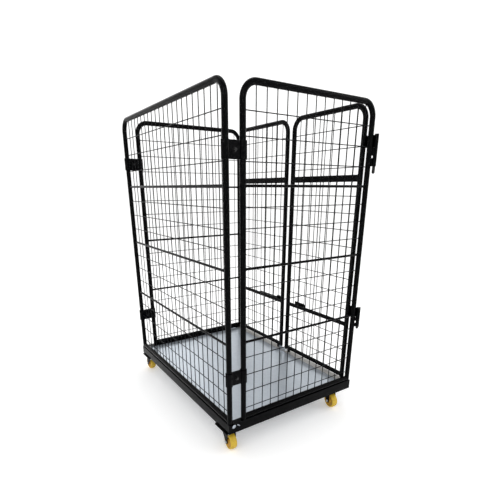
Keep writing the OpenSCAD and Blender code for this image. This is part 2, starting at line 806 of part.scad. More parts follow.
module fork_front_closed() color(black) at_castor(0) fork();
module fork_rear_closed() color(black) at_castor(1) fork();
module fork_front_door() color(black) at_castor(2) fork();
module fork_rear_door() color(black) at_castor(3) fork();
module wheel_front_closed() color(yellow) at_castor(0) wheel();
module wheel_rear_closed() color(yellow) at_castor(1) wheel();
module wheel_front_door() color(yellow) at_castor(2) wheel();
module wheel_rear_door() color(yellow) at_castor(3) wheel();
module axle_front_closed() color(zinc) at_castor(0) axle();
module axle_rear_closed() color(zinc) at_castor(1) axle();
module axle_front_door() color(zinc) at_castor(2) axle();
module axle_rear_door() color(zinc) at_castor(3) axle();
module bush_front_closed() color(zinc) at_castor(0) bush();
module bush_rear_closed() color(zinc) at_castor(1) bush();
module bush_front_door() color(zinc) at_castor(2) bush();
module bush_rear_door() color(zinc) at_castor(3) bush();

// ---- nodes ----

side_rail_closed();
door_sill();
end_rail_front();
end_rail_rear();
cross_members();
corner_plates();
floor_sheet();
sill_plate();
door_stop();
panel_spigots();
panel_screws();
closed_panel_frame();
closed_panel_rods();
closed_panel_mesh();
front_panel_frame();
front_panel_rods();
front_panel_mesh();
rear_panel_frame();
rear_panel_rods();
rear_panel_mesh();
corner_clamps();
clamp_bolts();
clamp_nuts();
front_leaf_frame();
front_leaf_rails();
front_leaf_mesh();
front_leaf_foot();
rear_leaf_frame();
rear_leaf_rails();
rear_leaf_mesh();
rear_leaf_foot();
front_post_knuckles();
rear_post_knuckles();
front_leaf_knuckles();
rear_leaf_knuckles();
front_hinge_pins();
rear_hinge_pins();
latch_bracket();
latch_pivot_bolt();
latch_bar();
latch_keeper();
castor_plates();
castor_plate_bolts();
castor_king_bolts();
fork_front_closed();
fork_rear_closed();
fork_front_door();
fork_rear_door();
wheel_front_closed();
wheel_rear_closed();
wheel_front_door();
wheel_rear_door();
axle_front_closed();
axle_rear_closed();
axle_front_door();
axle_rear_door();
bush_front_closed();
bush_rear_closed();
bush_front_door();
bush_rear_door();
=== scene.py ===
"""Looks of a mesh-sided roll cage container, built round its packed CAD frame. Metres, +Z up."""

import json
import math

import bpy
import numpy as np
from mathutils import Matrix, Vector


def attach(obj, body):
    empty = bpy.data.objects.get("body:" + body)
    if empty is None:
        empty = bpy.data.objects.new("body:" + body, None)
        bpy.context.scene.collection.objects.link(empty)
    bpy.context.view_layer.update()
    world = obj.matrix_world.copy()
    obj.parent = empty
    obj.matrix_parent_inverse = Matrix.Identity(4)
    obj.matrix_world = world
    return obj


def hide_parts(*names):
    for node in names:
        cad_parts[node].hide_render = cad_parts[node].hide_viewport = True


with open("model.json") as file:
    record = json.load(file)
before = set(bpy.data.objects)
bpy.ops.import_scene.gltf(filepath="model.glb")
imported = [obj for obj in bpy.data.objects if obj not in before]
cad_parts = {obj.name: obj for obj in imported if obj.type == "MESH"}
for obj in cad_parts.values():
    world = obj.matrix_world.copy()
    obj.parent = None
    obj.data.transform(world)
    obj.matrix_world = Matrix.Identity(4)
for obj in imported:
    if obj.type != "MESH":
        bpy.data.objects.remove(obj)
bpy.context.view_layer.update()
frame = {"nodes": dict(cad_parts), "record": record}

bl_info = {
    "name": "Roll cage container",
    "version": (1, 0, 0),
    "blender": (4, 2, 0),
    "location": "View3D > Sidebar > Roll Cage",
    "description": "Adds welds, wheels, forks, clamps and finishes to the roll cage container",
    "category": "Object",
}

# Sizes of the CAD frame, in metres
POST_X, POST_Y = 0.392, 0.562
CORNER_GAP = 0.076
TUBE_R, RUNG_R, ROD_R = 0.0125, 0.0115, 0.00575
LONG_W, SHORT_W, LEAF_W = 1.124, 0.708, 0.499
LEAF_X, STILE_Y = 0.386, 0.528
FOOT_Z, LEAF_FOOT_Z, TOP_Z = 0.1735, 0.180, 1.554
BEND_R = 0.062
ROD_TOP_Z, ROD_GAP, EDGE_PITCH = 1.200, 0.325, 0.0865
ROD_Z = [ROD_TOP_Z - k * ROD_GAP for k in range(3)]
UPRIGHT_OFF, LEVEL_OFF = 0.0078, 0.00375
LEAF_UPRIGHT_OFF, LEAF_LEVEL_OFF = -0.002, 0.00205
LEAF_UPPER_Z, LEAF_UPPER_H, LEAF_LOWER_Z = 1.238, 0.032, 0.486
PIN_X, PIN_Y = 0.412, 0.5805
# Joint face of each hinge, with the post knuckle's height and its arms' height
HINGES = [(1.371, 0.082, 0.036), (0.538, 0.052, 0.020)]
CLAMP_Z = [1.325, 0.388]
# Swivel point of each castor and the direction in degrees that its wheel trails in
CASTORS = {
    "front_closed": (-0.369, -0.507, 264.0),
    "rear_closed": (-0.369, 0.507, 92.0),
    "front_door": (0.312, -0.507, 262.0),
    "rear_door": (0.312, 0.507, 100.0),
}
TRAIL, AXLE_Z = 0.026, 0.042

FIXED_ROWS = (
    [ROD_TOP_Z + k * EDGE_PITCH for k in (1, 2, 3)]
    + [ROD_TOP_Z - (r + k / 4) * ROD_GAP for r in (0, 1) for k in (1, 2, 3)]
    + [ROD_Z[2] - (k - 0.1) * EDGE_PITCH for k in (1, 2, 3, 4)]
)
LEAF_ROWS = (
    [TOP_Z - k * (TOP_Z - LEAF_UPPER_Z) * 0.28 for k in (1, 2, 3)]
    + [LEAF_LOWER_Z + k * (LEAF_UPPER_Z - LEAF_LOWER_Z) / 9 for k in range(1, 9)]
    + [LEAF_LOWER_Z - k * (LEAF_LOWER_Z - LEAF_FOOT_Z) / 4 for k in (1, 2, 3)]
)


# ---------------------------------------------------------------- materials


def srgb(code):
    """Linear RGBA of an sRGB hex colour such as "#aeb6bf"."""
    part = [int(code[i : i + 2], 16) / 255 for i in (1, 3, 5)]
    return tuple(c / 12.92 if c <= 0.04045 else ((c + 0.055) / 1.055) ** 2.4 for c in part) + (1.0,)


def add(tree, kind, settings=None, inputs=None):
    """Adds a node, sets its properties, then sets or links its inputs: a socket links, a value sets."""
    node = tree.nodes.new(kind)
    for key, value in (settings or {}).items():
        setattr(node, key, value)
    for key, value in (inputs or {}).items():
        if isinstance(value, bpy.types.NodeSocket):
            tree.links.new(value, node.inputs[key])
        else:
            node.inputs[key].default_value = value
    return node


def ramp(tree, fac, stops):
    """Colour ramp with (position, linear colour) stops."""
    node = add(tree, "ShaderNodeValToRGB", inputs={"Fac": fac})
    points = node.color_ramp.elements
    while len(points) < len(stops):
        points.new(0.5)
    for point, (pos, colour) in zip(points, stops):
        point.position, point.color = pos, colour
    return node.outputs["Color"]


def start(name):
    """New node material with its shader, and object coordinates in metres."""
    mat = bpy.data.materials.new(name)
    mat.use_nodes = True
    tree = mat.node_tree
    tree.nodes.clear()
    shader = add(tree, "ShaderNodeBsdfPrincipled")
    out = add(tree, "ShaderNodeOutputMaterial", inputs={"Surface": shader.outputs["BSDF"]})
    out.location = (400, 0)
    coords = add(tree, "ShaderNodeTexCoord").outputs["Object"]
    return mat, tree, shader, coords


def noise(tree, coords, size_mm, detail=3.0, rough=0.55):
    """Noise whose features are about size_mm across."""
    return add(
        tree,
        "ShaderNodeTexNoise",
        {"noise_type": "FBM"},
        {"Vector": coords, "Scale": 1000.0 / size_mm, "Detail": detail, "Roughness": rough},
    ).outputs["Fac"]


def spread(tree, value, low, high, lo=0.3, hi=0.7):
    """Maps lo..hi of a value to low..high."""
    return add(
        tree,
        "ShaderNodeMapRange",
        inputs={"Value": value, "From Min": lo, "From Max": hi, "To Min": low, "To Max": high},
    ).outputs["Result"]


def bump(tree, shader, height, depth_mm, strength=1.0):
    """Raises the surface by depth_mm where height is 1."""
    inputs = {"Height": height, "Distance": depth_mm / 1000.0, "Strength": strength}
    node = add(tree, "ShaderNodeBump", inputs=inputs)
    tree.links.new(node.outputs["Normal"], shader.inputs["Normal"])


def mixed(tree, fac, a, b):
    """Mix of two colours."""
    node = add(tree, "ShaderNodeMix", {"data_type": "RGBA", "blend_type": "MIX"})
    for index, value in ((0, fac), (6, a), (7, b)):
        if isinstance(value, bpy.types.NodeSocket):
            tree.links.new(value, node.inputs[index])
        else:
            node.inputs[index].default_value = value
    return node.outputs[2]


def powder_coat(name, base, dust, rough, peel_mm, depth_mm, sheen=0.05):
    """Black powder coat: a near-black satin with fine orange peel, a thin cloud of dust and faint scuffs."""
    mat, tree, shader, coords = start(name)
    cloud = noise(tree, coords, 60.0, 4.0)
    scuff = noise(tree, coords, 4.0, 6.0, 0.7)
    colour = mixed(tree, spread(tree, cloud, 0.0, 0.35), srgb(base), srgb(dust))
    marks = spread(tree, scuff, 0.0, 0.15, 0.66, 0.78)
    tree.links.new(mixed(tree, marks, colour, srgb("#141517")), shader.inputs["Base Color"])
    tree.links.new(spread(tree, cloud, rough - 0.04, rough + 0.05), shader.inputs["Roughness"])
    shader.inputs["Specular IOR Level"].default_value = sheen
    bump(tree, shader, noise(tree, coords, peel_mm, 2.0), depth_mm)
    return mat


def galvanised():
    """Hot-dip galvanised sheet: zinc spangle of differing grey, with rolled streaks and dull handling marks."""
    mat, tree, shader, coords = start("galvanised spangled sheet")
    warp = add(
        tree,
        "ShaderNodeVectorMath",
        {"operation": "MULTIPLY_ADD"},
        {0: add(tree, "ShaderNodeTexNoise", inputs={"Vector": coords, "Scale": 60.0}).outputs["Color"],
         1: (0.012, 0.012, 0.012), 2: coords},
    ).outputs["Vector"]
    cells = add(tree, "ShaderNodeTexVoronoi", {"feature": "F1"}, {"Vector": warp, "Scale": 70.0})
    grey = add(tree, "ShaderNodeSeparateColor", inputs={"Color": cells.outputs["Color"]}).outputs["Red"]
    streak = add(
        tree, "ShaderNodeMapping", inputs={"Vector": coords, "Scale": (40.0, 2.0, 40.0)}
    ).outputs["Vector"]
    lines = add(tree, "ShaderNodeTexNoise", inputs={"Vector": streak, "Scale": 3.0, "Detail": 5.0})
    marks = noise(tree, coords, 130.0, 5.0, 0.6)
    base = ramp(tree, grey, [(0.0, srgb("#b6bec7")), (0.5, srgb("#b9c1c9")), (1.0, srgb("#bcc4cc"))])
    base = mixed(tree, spread(tree, lines.outputs["Fac"], 0.0, 0.2), base, srgb("#acb4bd"))
    base = mixed(tree, spread(tree, marks, 0.0, 0.25, 0.5, 0.8), base, srgb("#d6dadd"))
    tree.links.new(base, shader.inputs["Base Color"])
    shader.inputs["Metallic"].default_value = 0.55
    rough = add(tree, "ShaderNodeMath", {"operation": "MULTIPLY_ADD"}, {0: grey, 1: 0.03, 2: 0.24})
    tree.links.new(rough.outputs["Value"], shader.inputs["Roughness"])
    bump(tree, shader, marks, 0.6, 0.2)
    return mat


def worn_sill():
    """Sill strip rubbed by loading: warm grey steel with long scratches and darker grime."""
    mat, tree, shader, coords = start("worn sill steel")
    along = add(
        tree, "ShaderNodeMapping", inputs={"Vector": coords, "Scale": (300.0, 12.0, 100.0)}
    ).outputs["Vector"]
    scratch = add(tree, "ShaderNodeTexNoise", inputs={"Vector": along, "Scale": 1.0, "Detail": 6.0})
    grime = noise(tree, coords, 90.0, 5.0, 0.62)
    base = ramp(tree, scratch.outputs["Fac"], [(0.3, srgb("#8d8c89")), (0.7, srgb("#b2b1af"))])
    base = mixed(tree, spread(tree, grime, 0.0, 0.55), base, srgb("#7d7972"))
    tree.links.new(base, shader.inputs["Base Color"])
    shader.inputs["Metallic"].default_value = 0.6
    tree.links.new(spread(tree, grime, 0.38, 0.62), shader.inputs["Roughness"])
    bump(tree, shader, scratch.outputs["Fac"], 0.05, 0.7)
    return mat


def zinc_plate():
    """Zinc-plated fasteners: cool bright metal with cloudy passivation and fine turning marks."""
    mat, tree, shader, coords = start("zinc plate")
    cloud = noise(tree, coords, 7.0, 4.0)
    base = ramp(tree, cloud, [(0.3, srgb("#a9adb3")), (0.55, srgb("#c3c7cb")), (0.8, srgb("#cdc9b8"))])
    tree.links.new(base, shader.inputs["Base Color"])
    shader.inputs["Metallic"].default_value = 1.0
    tree.links.new(spread(tree, cloud, 0.24, 0.42), shader.inputs["Roughness"])
    bump(tree, shader, noise(tree, coords, 0.6, 3.0), 0.02)
    return mat


def moulded(name, light, dark, grime, rough, grain_mm):
    """Moulded plastic or tyre: mottled colour, grey road grime in patches and a fine moulded grain."""
    mat, tree, shader, coords = start(name)
    mottle = noise(tree, coords, 14.0, 4.0)
    dirt = noise(tree, coords, 9.0, 6.0, 0.7)
    base = mixed(tree, spread(tree, mottle, 0.0, 1.0), srgb(light), srgb(dark))
    base = mixed(tree, spread(tree, dirt, 0.0, 0.6, 0.55, 0.75), base, srgb(grime))
    tree.links.new(base, shader.inputs["Base Color"])
    tree.links.new(spread(tree, dirt, rough, rough + 0.25), shader.inputs["Roughness"])
    bump(tree, shader, noise(tree, coords, grain_mm, 3.0), 0.06)
    return mat


def studio(name, colour):
    """Studio floor or wall: matt translucent paper lit from behind, with a barely seen tooth."""
    mat, tree, shader, coords = start(name)
    tooth = noise(tree, coords, 3.0, 3.0)
    tree.links.new(
        mixed(tree, spread(tree, tooth, 0.0, 0.04), srgb(colour), srgb("#f0f0f0")),
        shader.inputs["Base Color"],
    )
    shader.inputs["Roughness"].default_value = 0.9
    shader.inputs["Emission Color"].default_value = (1.0, 1.0, 1.0, 1.0)
    shader.inputs["Emission Strength"].default_value = 0.2
    bump(tree, shader, tooth, 0.05, 0.3)
    return mat


def make_finishes():
    """All finishes by short name."""
    return {
        # satin black of the frame tubes and rails, with fine orange peel and dust
        "coat": powder_coat("black powder coat", "#020203", "#050607", 0.15, 1.4, 0.005),
        # slightly greyer black of the dipped wires
        "wire": powder_coat("black dipped wire", "#050607", "#0a0b0c", 0.30, 1.0, 0.01),
        # duller pressed steel of the castors
        "castor": powder_coat("black castor steel", "#060606", "#121110", 0.36, 2.0, 0.04),
        # blackened bolts and pins, a little glossier than the coat round them
        "dark": powder_coat("blackened steel", "#060607", "#101010", 0.22, 0.8, 0.03, 0.35),
        "deck": galvanised(),
        "sill": worn_sill(),
        "zinc": zinc_plate(),
        # warm yellow tread, rubbed grey where it rolls
        "tyre": moulded("yellow tyre", "#cfae2a", "#b8971f", "#86753a", 0.40, 0.8),
        # wheel centre painted a deeper amber than the yellow tread, as painted shade of the wheel's side, so that
        # the tread stands off from it
        "shaded_core": moulded("amber wheel centre", "#b88a1c", "#a37716", "#5f5230", 0.38, 0.6),
    }


SLOT_FINISH = {
    "black_powder_coat": "coat",
    "black_wire": "wire",
    "galvanised_steel": "deck",
    "zinc_plate": "zinc",
    "black_fastener": "dark",
    "castor_black": "castor",
    "yellow_tread": "tyre",
}
FINISH = {}


# ---------------------------------------------------------------- surfaces


class Shell:
    """Grid surfaces gathered into one closed mesh."""

    def __init__(self):
        self.points, self.quads, self.count = [], [], 0

    def grid(self, pts, wrap_v=False, ribbon=False):
        """Adds a surface from an m by n by 3 array: rings of n points, each joined end to end. wrap_v joins
        the last ring to the first. Otherwise both ends are closed: on their middle points, or, for a ribbon
        (an outer line followed by its inner line backwards), straight across. Faces are turned outwards."""
        m, n = pts.shape[:2]
        i = np.arange(m if wrap_v else m - 1)[:, None]
        j = np.arange(n)[None, :]
        i2, j2 = (i + 1) % m, (j + 1) % n
        quads = np.stack(
            [i * n + j, i * n + j2 + 0 * i, i2 * n + j2, i2 * n + j + 0 * j2], axis=-1
        ).reshape(-1, 4)
        pts_flat = pts.reshape(-1, 3)
        extra = []
        if ribbon:
            jj = np.arange(n // 2 - 1)
            ends = np.stack([jj, n - 1 - jj, n - 2 - jj, jj + 1], axis=-1)
            extra += [ends, ends[:, ::-1] + (m - 1) * n]
        elif not wrap_v:
            a, b = len(pts_flat), len(pts_flat) + 1
            jj = np.arange(n)
            extra.append(np.stack([(jj + 1) % n, jj, np.full(n, a), np.full(n, a)], axis=-1))
            last = (m - 1) * n
            extra.append(np.stack([last + jj, last + (jj + 1) % n, np.full(n, b), np.full(n, b)], axis=-1))
            pts_flat = np.vstack([pts_flat, pts[0].mean(axis=0), pts[-1].mean(axis=0)])
        quads = np.vstack([quads] + extra)
        a, b, c, d = (pts_flat[quads[:, k]] for k in range(4))
        if np.einsum("ij,ij->", a, np.cross(b, c)) + np.einsum("ij,ij->", a, np.cross(c, d)) < 0:
            quads = quads[:, [1, 0, 3, 2]]
        quads = quads + self.count
        self.points.append(pts_flat)
        self.quads.append(quads)
        self.count += len(pts_flat)

    def build(self, name, finish, body, slot, replaces=()):
        """Makes the object at the origin, facing outwards, with its finish, body and slot."""
        pts = np.vstack(self.points)
        faces = [
            [int(q[0]), int(q[1]), int(q[2])] if q[2] == q[3] else [int(v) for v in q]
            for q in np.vstack(self.quads)
        ]
        name = name.replace(" ", "-")
        mesh = bpy.data.meshes.new(name)
        mesh.from_pydata(pts.tolist(), [], faces)
        mesh.validate()
        mesh.materials.append(FINISH[finish])
        mesh.update()
        mesh.shade_smooth()
        mesh.set_sharp_from_angle(angle=math.radians(32.0))
        obj = bpy.data.objects.new(name, mesh)
        bpy.context.scene.collection.objects.link(obj)
        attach(obj, body)
        if replaces:
            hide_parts(*replaces)
        return obj


def basis(axis):
    """Two unit vectors square to axis and to each other, right-handed with it."""
    axis = np.asarray(axis, float) / np.linalg.norm(axis)
    side = np.cross([0.0, 0.0, 1.0], axis)
    if np.linalg.norm(side) < 1e-6:
        side = np.array([1.0, 0.0, 0.0])
    side /= np.linalg.norm(side)
    return side, np.cross(axis, side), axis


def lathe(shell, centre, axis, profile, steps=64, hexagon=None):
    """Turns (radius, height) pairs about an axis. With hexagon = (across-flats radius, low, high), rings
    between those heights are also cut by a hexagon, so that a cone over it leaves a real chamfer."""
    u, v, w = basis(axis)
    profile = np.asarray(profile, float)
    ang = np.linspace(0, 2 * np.pi, steps, endpoint=False)
    radius = np.repeat(profile[:, :1], steps, axis=1)
    if hexagon:
        flat, low, high = hexagon
        wall = flat / np.cos((ang % (np.pi / 3)) - np.pi / 6)
        inside = (profile[:, 1] >= low - 1e-9) & (profile[:, 1] <= high + 1e-9)
        radius[inside] = np.minimum(radius[inside], wall[None, :])
    pts = (
        np.asarray(centre, float)
        + radius[..., None] * (np.cos(ang)[None, :, None] * u + np.sin(ang)[None, :, None] * v)
        + profile[:, 1][:, None, None] * w
    )
    shell.grid(pts)


def sweep(shell, path, section, across):
    """Carries a flat (a, b) section along a path: point + a * unit(tangent x across) + b * across."""
    path = np.asarray(path, float)
    section = np.asarray(section, float)
    tangent = np.gradient(path, axis=0)
    tangent /= np.linalg.norm(tangent, axis=1)[:, None]
    across = np.broadcast_to(np.asarray(across, float), path.shape)
    out = np.cross(tangent, across)
    out /= np.linalg.norm(out, axis=1)[:, None]
    pts = path[:, None, :] + section[None, :, :1] * out[:, None, :] + section[None, :, 1:] * across[:, None, :]
    shell.grid(pts)


def rounded_box(half_a, half_b, radius, steps=5):
    """Closed section of a rectangle with rounded corners, anticlockwise."""
    out = []
    for sa, sb, turn in ((1, 1, 0), (-1, 1, 90), (-1, -1, 180), (1, -1, 270)):
        for t in np.radians(np.linspace(turn, turn + 90, steps)):
            out.append((sa * (half_a - radius) + radius * np.cos(t), sb * (half_b - radius) + radius * np.sin(t)))
    return np.array(out)


def slab(shell, outline, centre, u, v, w, thick, edge):
    """Pressed plate: a flat outline in the plane of u and v, thick along w, its rims rolled by `edge`.
    Rings run from the middle of one face out to the rim, over the thickness and back to the middle."""
    outline = np.asarray(outline, float)
    mid = outline.mean(axis=0)
    tangent = np.roll(outline, -1, 0) - np.roll(outline, 1, 0)
    normal = np.stack([tangent[:, 1], -tangent[:, 0]], axis=1)
    normal /= np.linalg.norm(normal, axis=1)[:, None]
    area = np.sum(outline[:, 0] * np.roll(outline[:, 1], -1) - np.roll(outline[:, 0], -1) * outline[:, 1])
    normal *= np.sign(area)
    rings = []
    for f in (0.35, 0.7, 0.92):
        rings.append((mid + (outline - mid) * f - normal * edge * f, -thick / 2))
    for t in np.radians(np.linspace(-90, 0, 5)):
        rings.append((outline - normal * edge * (1 - np.cos(t)), -thick / 2 + edge * (1 + np.sin(t))))
    for t in np.radians(np.linspace(0, 90, 5)):
        rings.append((outline - normal * edge * (1 - np.cos(t)), thick / 2 - edge * (1 - np.sin(t))))
    for f in (0.92, 0.7, 0.35):
        rings.append((mid + (outline - mid) * f - normal * edge * f, thick / 2))
    u, v, w = (np.asarray(x, float) for x in (u, v, w))
    pts = np.array(
        [np.asarray(centre, float) + r[:, :1] * u + r[:, 1:] * v + h * w for r, h in rings]
    )
    if np.sign(area) * np.dot(np.cross(u, v), w) < 0:
        pts = pts[:, ::-1]
    shell.grid(pts)


def smooth_outline(corners, radius, steps=6):
    """Closed outline through corners, each rounded by an arc of up to `radius`."""
    corners = [np.asarray(c, float) for c in corners]
    out = []
    for k, c in enumerate(corners):
        a, b = corners[k - 1] - c, corners[(k + 1) % len(corners)] - c
        la, lb = np.linalg.norm(a), np.linalg.norm(b)
        a, b = a / la, b / lb
        half = math.acos(np.clip(np.dot(a, b), -1, 1)) / 2
        cut = min(radius / max(math.tan(half), 1e-3), 0.45 * la, 0.45 * lb)
        for t in np.linspace(0, 1, steps):
            out.append((1 - t) ** 2 * (c + a * cut) + 2 * t * (1 - t) * c + t**2 * (c + b * cut))
    return np.array(out)


# ---------------------------------------------------------------- places


def place(panel, s, off, z):
    """Point on a panel: s along it from its first post, off towards the inside, z up."""
    if panel == "closed":
        return (-POST_X + off, POST_Y - s, z)
    if panel == "front":
        return (-POST_X + CORNER_GAP + s, -POST_Y + off, z)
    if panel == "rear":
        return (-POST_X + CORNER_GAP + s, POST_Y - off, z)
    if panel == "front_leaf":
        return (LEAF_X - off, -STILE_Y + s, z)
    return (LEAF_X - off, STILE_Y - s, z)


def uprights(panel):
    """Places of the upright wires along a panel."""
    width, first = {
        "closed": (LONG_W, 0.062),
        "front": (SHORT_W, 0.065),
        "rear": (SHORT_W, 0.065),
    }.get(panel, (LEAF_W, 0.0495))
    return np.arange(first, width - 0.040 + 1e-6, 0.050), width


PANELS = {
    "closed": ("base", FIXED_ROWS, UPRIGHT_OFF, LEVEL_OFF, FOOT_Z),
    "front": ("base", FIXED_ROWS, UPRIGHT_OFF, LEVEL_OFF, FOOT_Z),
    "rear": ("base", FIXED_ROWS, UPRIGHT_OFF, LEVEL_OFF, FOOT_Z),
    "front_leaf": ("front_leaf", LEAF_ROWS, LEAF_UPRIGHT_OFF, LEAF_LEVEL_OFF, LEAF_FOOT_Z),
    "rear_leaf": ("rear_leaf", LEAF_ROWS, LEAF_UPRIGHT_OFF, LEAF_LEVEL_OFF, LEAF_FOOT_Z),
}


def half_tube(off):
    """Half width of the frame tube at a distance off its centre plane."""
    return math.sqrt(max(0.0, TUBE_R**2 - off**2))


def arch_under(s, width, off):
    """Height of the underside of a panel's arch."""
    e, r = min(s, width - s), BEND_R - half_tube(off)
    if e < BEND_R:
        return TOP_Z - BEND_R + math.sqrt(r * r - (BEND_R - e) ** 2)
    return TOP_Z - half_tube(off)


# ---------------------------------------------------------------- pieces


def add_nuggets(settings):
    """Resistance-weld nuggets: a squashed sphere, (cos a cos b, cos a sin b, sin a) on a 5 by 8 grid, at
    every wire crossing and wire end, each turned and scaled a little differently."""
    rng = np.random.default_rng(7)
    a = np.radians(np.linspace(-78, 78, 5))
    b = np.linspace(0, 2 * np.pi, 8, endpoint=False)
    unit = np.stack(
        [np.cos(a)[:, None] * np.cos(b), np.cos(a)[:, None] * np.sin(b), np.sin(a)[:, None] + 0 * b], axis=-1
    )
    for panel, (body, rows, up, level, foot) in PANELS.items():
        shell = Shell()
        places, width = uprights(panel)
        mid = (up + level) / 2
        spots = [(s, mid, z, 1.0) for s in places for z in rows]
        for z in rows:
            reach = half_tube(level)
            spots += [(reach + 0.0006, level, z, 1.15), (width - reach - 0.0006, level, z, 1.15)]
        for s in places:
            spots.append((s, up, foot + half_tube(up) + 0.0004, 1.15))
            spots.append((s, up, arch_under(s, width, up) - 0.0004, 1.15))
            if panel.endswith("leaf"):
                for z in (LEAF_LOWER_Z - RUNG_R, LEAF_LOWER_Z + RUNG_R,
                          LEAF_UPPER_Z - LEAF_UPPER_H / 2, LEAF_UPPER_Z + LEAF_UPPER_H / 2):
                    spots.append((s, up, z, 1.15))
        size = settings.nugget_mm / 1000.0
        for s, off, z, k in spots:
            axes = size * k * rng.uniform(0.85, 1.1, 3)
            shell.grid(unit * axes + np.array(place(panel, s, off, z)))
        shell.build(f"{panel} weld nuggets", "wire", body, "black_wire")


def ring_bead(shell, panel, z, rod_r, at_end, width, bead, rng):
    """Fillet weld round a bar that meets a post: a round section carried along the saddle curve
    x = sqrt(R^2 - y^2), y = r cos t, z = r sin t, swelling and shrinking for each puddle."""
    t = np.linspace(0, 2 * np.pi, 40, endpoint=False)
    y = (rod_r + bead * 0.35) * np.cos(t)
    x = np.sqrt(np.maximum(TUBE_R**2 - y**2, 1e-8)) + bead * 0.3
    zz = z + (rod_r + bead * 0.35) * np.sin(t)
    s = width - x if at_end else x
    path = np.array([place(panel, si, yi, zi) for si, yi, zi in zip(s, y, zz)])
    puddles = 1 + 0.16 * np.cos(9 * t + rng.uniform(0, 6)) + rng.uniform(-0.06, 0.06, len(t))
    centre = path.mean(axis=0)
    outward = path - centre
    along = np.array(place(panel, 1.0, 0, 0)) - np.array(place(panel, 0.0, 0, 0))
    k = np.linspace(0, 2 * np.pi, 8, endpoint=False)
    outward /= np.linalg.norm(outward, axis=1)[:, None]
    pts = (
        path[:, None, :]
        + (bead * puddles[:, None] * np.cos(k)[None, :])[..., None] * outward[:, None, :]
        + (bead * puddles[:, None] * np.sin(k)[None, :])[..., None] * along[None, None, :]
    )
    shell.grid(pts, wrap_v=True)


def line_bead(shell, a, b, bead):
    """Straight fillet weld from a to b: a round section with a swell for each puddle and tapering ends."""
    a, b = np.asarray(a, float), np.asarray(b, float)
    steps = max(8, int(np.linalg.norm(b - a) / 0.0012))
    t = np.linspace(0, 1, steps)
    path = a + (b - a) * t[:, None]
    swell = (1 + 0.18 * np.cos(t * np.linalg.norm(b - a) / 0.0035 * 2 * np.pi)) * np.clip(
        np.minimum(t, 1 - t) * 14 + 0.25, 0, 1
    )
    k = np.linspace(0, 2 * np.pi, 8, endpoint=False)
    side, up, _ = basis(b - a)
    pts = path[:, None, :] + (bead * swell[:, None])[..., None] * (
        np.cos(k)[None, :, None] * side + np.sin(k)[None, :, None] * up
    )
    shell.grid(pts)


def add_beads(settings):
    """Fillet welds where rods, rails and hinge arms meet the tubes."""
    rng = np.random.default_rng(11)
    bead = settings.bead_mm / 1000.0
    groups = {"base": Shell(), "front_leaf": Shell(), "rear_leaf": Shell()}
    for panel, (body, _rows, _up, _level, foot) in PANELS.items():
        width = uprights(panel)[1]
        if panel.endswith("leaf"):
            bars = [(LEAF_LOWER_Z, RUNG_R)]
            for end in (0, 1):
                for sz in (-1, 1):
                    z = LEAF_UPPER_Z + sz * LEAF_UPPER_H / 2
                    ends = []
                    for off in (-0.0095, 0.0095):
                        x = half_tube(off) + 0.001
                        ends.append(place(panel, width - x if end else x, off, z))
                    line_bead(groups[body], ends[0], ends[1], bead)
                for off in (-0.0095, 0.0095):
                    x = half_tube(off) + 0.001
                    s = width - x if end else x
                    line_bead(
                        groups[body],
                        place(panel, s, off, LEAF_UPPER_Z - LEAF_UPPER_H / 2),
                        place(panel, s, off, LEAF_UPPER_Z + LEAF_UPPER_H / 2), bead,
                    )
        else:
            bars = [(z, ROD_R) for z in ROD_Z]
        bars.append((foot, TUBE_R - 0.0016))
        for z, r in bars:
            for end in (False, True):
                ring_bead(groups[body], panel, z, r, end, width, bead, rng)
    for sign, body in ((-1, "front_leaf"), (1, "rear_leaf")):
        toward = math.atan2(sign * (PIN_Y - POST_Y), PIN_X - POST_X)
        for z, knuckle, arm in HINGES:
            for low in (z - knuckle, z - arm):
                for side in (-1, 1):
                    ang = toward + side * 0.30
                    x = POST_X + (TUBE_R + 0.0006) * math.cos(ang)
                    y = sign * POST_Y + (TUBE_R + 0.0006) * math.sin(ang)
                    line_bead(groups["base"], (x, y, low + 0.001), (x, y, low + arm - 0.001), bead)
            y = sign * (STILE_Y - 0.0075)
            line_bead(groups[body], (LEAF_X + 0.0108, y, z + 0.002), (LEAF_X + 0.0108, y, z + 0.050), bead)
    for body, shell in groups.items():
        shell.build(f"{body} fillet welds", "coat", body, "black_powder_coat")


def castor_frame(name):
    """Swivel point and unit vectors of a castor: ahead is against its trail."""
    x, y, heading = CASTORS[name]
    heading = math.radians(heading)
    ahead = np.array([-math.cos(heading), -math.sin(heading), 0.0])
    left = np.array([-ahead[1], ahead[0], 0.0])
    return np.array([x, y, 0.0]), ahead, left


